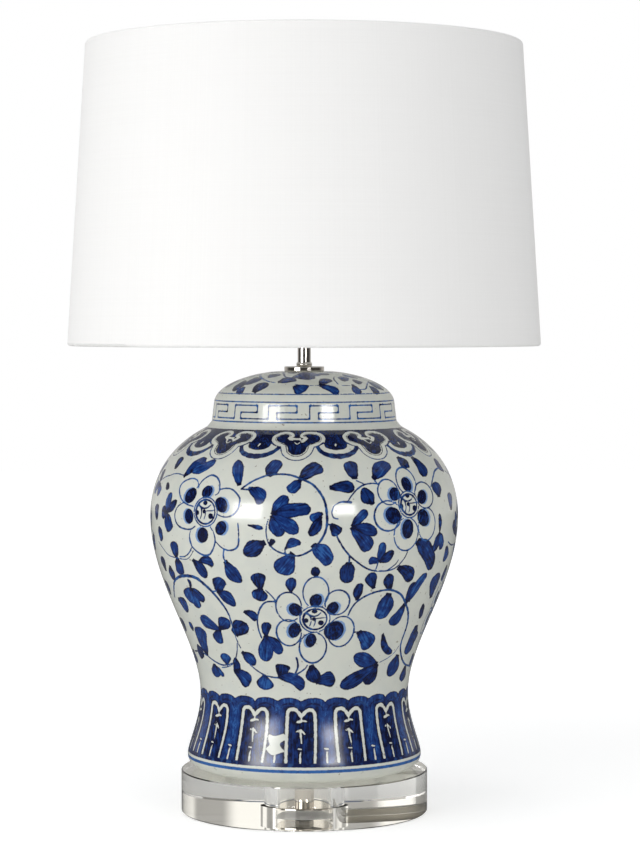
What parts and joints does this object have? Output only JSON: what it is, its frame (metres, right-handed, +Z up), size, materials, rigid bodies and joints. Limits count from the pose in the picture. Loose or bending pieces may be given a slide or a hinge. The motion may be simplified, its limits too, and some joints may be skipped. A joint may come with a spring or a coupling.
{
  "type": "table lamp",
  "caption": "Ginger jar table lamp: glazed ceramic jar on a clear acrylic disc, polished nickel neck, harp and turn-knob socket, tapered white drum shade.",
  "frame": {"origin": "on the lamp's axis, at the surface that the acrylic disc stands on", "axes": "+Z up along the lamp's axis, the harp lies in the XZ plane, -Y is the front with the switch knob, the cord leaves towards +X"},
  "size_m": [0.4565, 0.4566, 0.7539],
  "materials": {
    "clear_acrylic": "polished clear acrylic with a frosted cord channel",
    "painted_porcelain": "glossy off-white glaze painted in cobalt blue",
    "polished_nickel": "polished nickel plate",
    "zinc_steel": "zinc-plated steel",
    "brass": "plain drawn brass",
    "black_rubber": "matt rubber",
    "insulating_paper": "vulcanised fibre sleeve",
    "black_phenolic": "moulded phenolic",
    "shade_linen": "fine white linen",
    "shade_styrene": "translucent white styrene"
  },
  "bodies": {
    "stand": {"acrylic_base": "clear_acrylic", "base_lock_nut": "zinc_steel", "base_sleeve": "polished_nickel", "base_washer": "polished_nickel", "centre_contact": "brass", "harp_loop": "polished_nickel", "harp_saddle": "polished_nickel", "harp_stud": "polished_nickel", "jar": "painted_porcelain", "jar_floor_washer": "black_rubber", "lamp_pipe": "zinc_steel", "neck_collar": "polished_nickel", "neck_tube": "polished_nickel", "screw_shell": "brass", "socket_body": "black_phenolic", "socket_cap": "polished_nickel", "socket_cap_set_screw": "zinc_steel", "socket_insulator": "insulating_paper", "socket_shell": "polished_nickel", "terminal_screws": "brass", "vase_cap": "polished_nickel", "vase_cap_washer": "black_rubber"},
    "switch": {"switch_shaft": "brass", "switch_knob": "black_phenolic"},
    "ferrule_left": {"harp_ferrule_left": "polished_nickel"},
    "ferrule_right": {"harp_ferrule_right": "polished_nickel"},
    "shade": {"shade_fabric": "shade_linen", "shade_liner": "shade_styrene", "shade_bottom_ring": "polished_nickel", "shade_top_ring": "polished_nickel", "shade_hub": "polished_nickel", "shade_spider": "polished_nickel"},
    "finial": {"finial": "polished_nickel"}
  },
  "joints": [
    {"name": "switch_turn", "type": "hinge", "parent": "stand", "child": "switch", "pos_m": [0, -0.03, 0.5186], "axis": [0, -1, 0], "continuous": true},
    {"name": "ferrule_left_slide", "type": "slide", "parent": "stand", "child": "ferrule_left", "axis": [0, 0, 1], "range_m": [0, 0.012]},
    {"name": "ferrule_right_slide", "type": "slide", "parent": "stand", "child": "ferrule_right", "axis": [0, 0, 1], "range_m": [0, 0.012]},
    {"name": "shade_swivel", "type": "hinge", "parent": "stand", "child": "shade", "pos_m": [0, 0, 0.7281], "axis": [0, 0, 1], "continuous": true},
    {"name": "finial_turn", "type": "hinge", "parent": "stand", "child": "finial", "pos_m": [0, 0, 0.7331], "axis": [0, 0, 1], "continuous": true}
  ]
}
